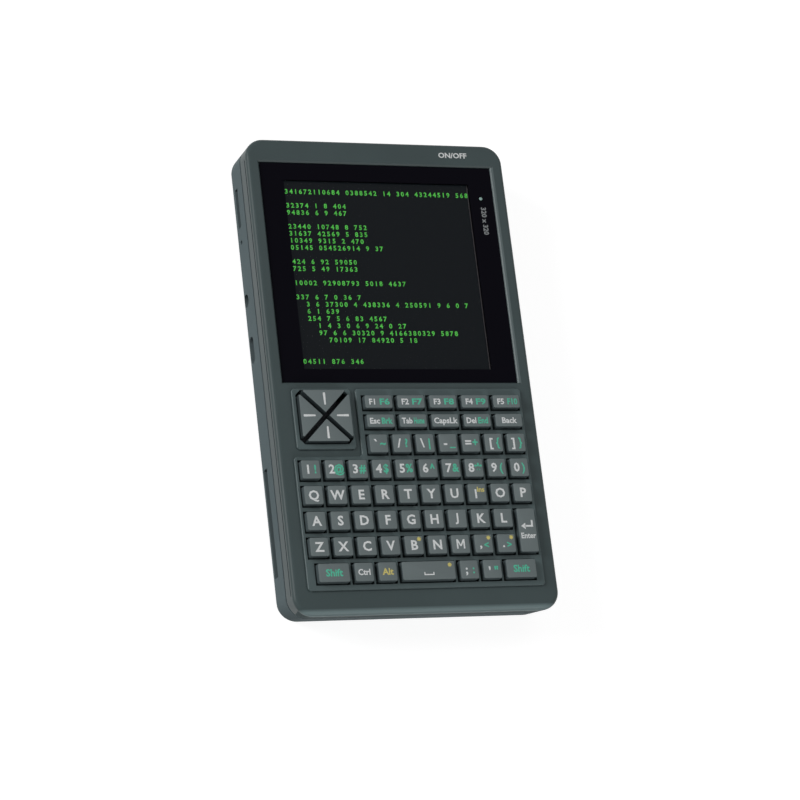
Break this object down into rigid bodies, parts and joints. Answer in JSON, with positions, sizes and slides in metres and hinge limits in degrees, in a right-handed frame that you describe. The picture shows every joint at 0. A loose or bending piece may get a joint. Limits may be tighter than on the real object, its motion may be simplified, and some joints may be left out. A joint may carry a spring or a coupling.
{
  "type": "handheld computer terminal",
  "caption": "Flat handheld computer terminal: square screen in the upper half, arrow pad and full sprung keyboard below, ports along the left side, speaker slots at the back.",
  "frame": {"origin": "middle of the rest face on the back, with the terminal lying on its back", "axes": "+Z out of the screen, +Y towards the screen end, +X to the right of the person who types"},
  "size_m": [0.1, 0.1773, 0.025],
  "materials": {
    "front_shell": "fine matt texture, dark grey-green",
    "rear_shell": "fine matt texture, lighter blue-grey",
    "screen_glass": "dark tinted cover lens, polished",
    "display_layers": "black display glass",
    "frame_sheet": "pressed sheet",
    "ribbon_film": "amber film",
    "light_guide": "frosted clear light guide",
    "silicone": "moulded silicone",
    "circuit_board": "solder mask",
    "module_board": "solder mask",
    "battery_wrap": "laminate pouch",
    "speaker_metal": "black frame and dark cone",
    "socket_metal": "stamped shell",
    "socket_plastic": "black moulding",
    "button_plastic": "fine matt texture",
    "switch_metal": "stamped cover",
    "screw_steel": "zinc plated steel",
    "key_plastic": "fine matt texture, mid grey"
  },
  "bodies": {
    "terminal": {"front_case": "front_shell", "rear_case": "rear_shell", "screen_lens": "screen_glass", "display_panel": "display_layers", "display_frame": "frame_sheet", "display_cable": "ribbon_film", "status_lamp": "light_guide", "keypad_mat": "silicone", "keypad_board": "circuit_board", "board_link": "socket_plastic", "main_board": "circuit_board", "processor_module": "module_board", "battery_pack": "battery_wrap", "speakers": "speaker_metal", "card_socket": "socket_metal", "usb_port": "socket_metal", "audio_jack": "socket_plastic", "expansion_header": "socket_plastic", "power_switch": "switch_metal", "case_screws": "screw_steel", "board_screws": "screw_steel"},
    "key_q": {"key_q": "key_plastic"},
    "key_w": {"key_w": "key_plastic"},
    "key_e": {"key_e": "key_plastic"},
    "key_r": {"key_r": "key_plastic"},
    "key_t": {"key_t": "key_plastic"},
    "key_y": {"key_y": "key_plastic"},
    "key_u": {"key_u": "key_plastic"},
    "key_i": {"key_i": "key_plastic"},
    "key_o": {"key_o": "key_plastic"},
    "key_p": {"key_p": "key_plastic"},
    "key_a": {"key_a": "key_plastic"},
    "key_s": {"key_s": "key_plastic"},
    "key_d": {"key_d": "key_plastic"},
    "key_f": {"key_f": "key_plastic"},
    "key_g": {"key_g": "key_plastic"},
    "key_h": {"key_h": "key_plastic"},
    "key_j": {"key_j": "key_plastic"},
    "key_k": {"key_k": "key_plastic"},
    "key_l": {"key_l": "key_plastic"},
    "key_z": {"key_z": "key_plastic"},
    "key_x": {"key_x": "key_plastic"},
    "key_c": {"key_c": "key_plastic"},
    "key_v": {"key_v": "key_plastic"},
    "key_b": {"key_b": "key_plastic"},
    "key_n": {"key_n": "key_plastic"},
    "key_m": {"key_m": "key_plastic"},
    "key_up": {"key_up": "key_plastic"},
    "key_down": {"key_down": "key_plastic"},
    "key_left": {"key_left": "key_plastic"},
    "key_right": {"key_right": "key_plastic"},
    "key_enter": {"key_enter": "key_plastic"},
    "key_space": {"key_space": "key_plastic"},
    "digit_keys": {"digit_keys": "key_plastic"},
    "symbol_keys": {"symbol_keys": "key_plastic"},
    "function_keys": {"function_keys": "key_plastic"},
    "editing_keys": {"editing_keys": "key_plastic"},
    "punctuation_keys": {"punctuation_keys": "key_plastic"},
    "modifier_keys": {"modifier_keys": "key_plastic"},
    "power_button": {"power_button": "button_plastic"}
  },
  "joints": [
    {"name": "key_q_press", "type": "slide", "parent": "terminal", "child": "key_q", "axis": [0, 0, -1], "range_m": [0, 0.001], "stiffness_N_per_m": 400, "springref_m": -0.0005},
    {"name": "key_w_press", "type": "slide", "parent": "terminal", "child": "key_w", "axis": [0, 0, -1], "range_m": [0, 0.001], "stiffness_N_per_m": 400, "springref_m": -0.0005},
    {"name": "key_e_press", "type": "slide", "parent": "terminal", "child": "key_e", "axis": [0, 0, -1], "range_m": [0, 0.001], "stiffness_N_per_m": 400, "springref_m": -0.0005},
    {"name": "key_r_press", "type": "slide", "parent": "terminal", "child": "key_r", "axis": [0, 0, -1], "range_m": [0, 0.001], "stiffness_N_per_m": 400, "springref_m": -0.0005},
    {"name": "key_t_press", "type": "slide", "parent": "terminal", "child": "key_t", "axis": [0, 0, -1], "range_m": [0, 0.001], "stiffness_N_per_m": 400, "springref_m": -0.0005},
    {"name": "key_y_press", "type": "slide", "parent": "terminal", "child": "key_y", "axis": [0, 0, -1], "range_m": [0, 0.001], "stiffness_N_per_m": 400, "springref_m": -0.0005},
    {"name": "key_u_press", "type": "slide", "parent": "terminal", "child": "key_u", "axis": [0, 0, -1], "range_m": [0, 0.001], "stiffness_N_per_m": 400, "springref_m": -0.0005},
    {"name": "key_i_press", "type": "slide", "parent": "terminal", "child": "key_i", "axis": [0, 0, -1], "range_m": [0, 0.001], "stiffness_N_per_m": 400, "springref_m": -0.0005},
    {"name": "key_o_press", "type": "slide", "parent": "terminal", "child": "key_o", "axis": [0, 0, -1], "range_m": [0, 0.001], "stiffness_N_per_m": 400, "springref_m": -0.0005},
    {"name": "key_p_press", "type": "slide", "parent": "terminal", "child": "key_p", "axis": [0, 0, -1], "range_m": [0, 0.001], "stiffness_N_per_m": 400, "springref_m": -0.0005},
    {"name": "key_a_press", "type": "slide", "parent": "terminal", "child": "key_a", "axis": [0, 0, -1], "range_m": [0, 0.001], "stiffness_N_per_m": 400, "springref_m": -0.0005},
    {"name": "key_s_press", "type": "slide", "parent": "terminal", "child": "key_s", "axis": [0, 0, -1], "range_m": [0, 0.001], "stiffness_N_per_m": 400, "springref_m": -0.0005},
    {"name": "key_d_press", "type": "slide", "parent": "terminal", "child": "key_d", "axis": [0, 0, -1], "range_m": [0, 0.001], "stiffness_N_per_m": 400, "springref_m": -0.0005},
    {"name": "key_f_press", "type": "slide", "parent": "terminal", "child": "key_f", "axis": [0, 0, -1], "range_m": [0, 0.001], "stiffness_N_per_m": 400, "springref_m": -0.0005},
    {"name": "key_g_press", "type": "slide", "parent": "terminal", "child": "key_g", "axis": [0, 0, -1], "range_m": [0, 0.001], "stiffness_N_per_m": 400, "springref_m": -0.0005},
    {"name": "key_h_press", "type": "slide", "parent": "terminal", "child": "key_h", "axis": [0, 0, -1], "range_m": [0, 0.001], "stiffness_N_per_m": 400, "springref_m": -0.0005},
    {"name": "key_j_press", "type": "slide", "parent": "terminal", "child": "key_j", "axis": [0, 0, -1], "range_m": [0, 0.001], "stiffness_N_per_m": 400, "springref_m": -0.0005},
    {"name": "key_k_press", "type": "slide", "parent": "terminal", "child": "key_k", "axis": [0, 0, -1], "range_m": [0, 0.001], "stiffness_N_per_m": 400, "springref_m": -0.0005},
    {"name": "key_l_press", "type": "slide", "parent": "terminal", "child": "key_l", "axis": [0, 0, -1], "range_m": [0, 0.001], "stiffness_N_per_m": 400, "springref_m": -0.0005},
    {"name": "key_z_press", "type": "slide", "parent": "terminal", "child": "key_z", "axis": [0, 0, -1], "range_m": [0, 0.001], "stiffness_N_per_m": 400, "springref_m": -0.0005},
    {"name": "key_x_press", "type": "slide", "parent": "terminal", "child": "key_x", "axis": [0, 0, -1], "range_m": [0, 0.001], "stiffness_N_per_m": 400, "springref_m": -0.0005},
    {"name": "key_c_press", "type": "slide", "parent": "terminal", "child": "key_c", "axis": [0, 0, -1], "range_m": [0, 0.001], "stiffness_N_per_m": 400, "springref_m": -0.0005},
    {"name": "key_v_press", "type": "slide", "parent": "terminal", "child": "key_v", "axis": [0, 0, -1], "range_m": [0, 0.001], "stiffness_N_per_m": 400, "springref_m": -0.0005},
    {"name": "key_b_press", "type": "slide", "parent": "terminal", "child": "key_b", "axis": [0, 0, -1], "range_m": [0, 0.001], "stiffness_N_per_m": 400, "springref_m": -0.0005},
    {"name": "key_n_press", "type": "slide", "parent": "terminal", "child": "key_n", "axis": [0, 0, -1], "range_m": [0, 0.001], "stiffness_N_per_m": 400, "springref_m": -0.0005},
    {"name": "key_m_press", "type": "slide", "parent": "terminal", "child": "key_m", "axis": [0, 0, -1], "range_m": [0, 0.001], "stiffness_N_per_m": 400, "springref_m": -0.0005},
    {"name": "key_up_press", "type": "slide", "parent": "terminal", "child": "key_up", "axis": [0, 0, -1], "range_m": [0, 0.001], "stiffness_N_per_m": 400, "springref_m": -0.0005},
    {"name": "key_down_press", "type": "slide", "parent": "terminal", "child": "key_down", "axis": [0, 0, -1], "range_m": [0, 0.001], "stiffness_N_per_m": 400, "springref_m": -0.0005},
    {"name": "key_left_press", "type": "slide", "parent": "terminal", "child": "key_left", "axis": [0, 0, -1], "range_m": [0, 0.001], "stiffness_N_per_m": 400, "springref_m": -0.0005},
    {"name": "key_right_press", "type": "slide", "parent": "terminal", "child": "key_right", "axis": [0, 0, -1], "range_m": [0, 0.001], "stiffness_N_per_m": 400, "springref_m": -0.0005},
    {"name": "key_enter_press", "type": "slide", "parent": "terminal", "child": "key_enter", "axis": [0, 0, -1], "range_m": [0, 0.001], "stiffness_N_per_m": 400, "springref_m": -0.0005},
    {"name": "key_space_press", "type": "slide", "parent": "terminal", "child": "key_space", "axis": [0, 0, -1], "range_m": [0, 0.001], "stiffness_N_per_m": 400, "springref_m": -0.0005},
    {"name": "digit_keys_press", "type": "slide", "parent": "terminal", "child": "digit_keys", "axis": [0, 0, -1], "range_m": [0, 0.001], "stiffness_N_per_m": 4000, "springref_m": -0.0005},
    {"name": "symbol_keys_press", "type": "slide", "parent": "terminal", "child": "symbol_keys", "axis": [0, 0, -1], "range_m": [0, 0.001], "stiffness_N_per_m": 2800, "springref_m": -0.0005},
    {"name": "function_keys_press", "type": "slide", "parent": "terminal", "child": "function_keys", "axis": [0, 0, -1], "range_m": [0, 0.001], "stiffness_N_per_m": 2000, "springref_m": -0.0005},
    {"name": "editing_keys_press", "type": "slide", "parent": "terminal", "child": "editing_keys", "axis": [0, 0, -1], "range_m": [0, 0.001], "stiffness_N_per_m": 2000, "springref_m": -0.0005},
    {"name": "punctuation_keys_press", "type": "slide", "parent": "terminal", "child": "punctuation_keys", "axis": [0, 0, -1], "range_m": [0, 0.001], "stiffness_N_per_m": 1600, "springref_m": -0.0005},
    {"name": "modifier_keys_press", "type": "slide", "parent": "terminal", "child": "modifier_keys", "axis": [0, 0, -1], "range_m": [0, 0.001], "stiffness_N_per_m": 1600, "springref_m": -0.0005},
    {"name": "power_button_press", "type": "slide", "parent": "terminal", "child": "power_button", "axis": [0, -1, 0], "range_m": [0, 0.0006], "stiffness_N_per_m": 800, "springref_m": -0.0003}
  ]
}
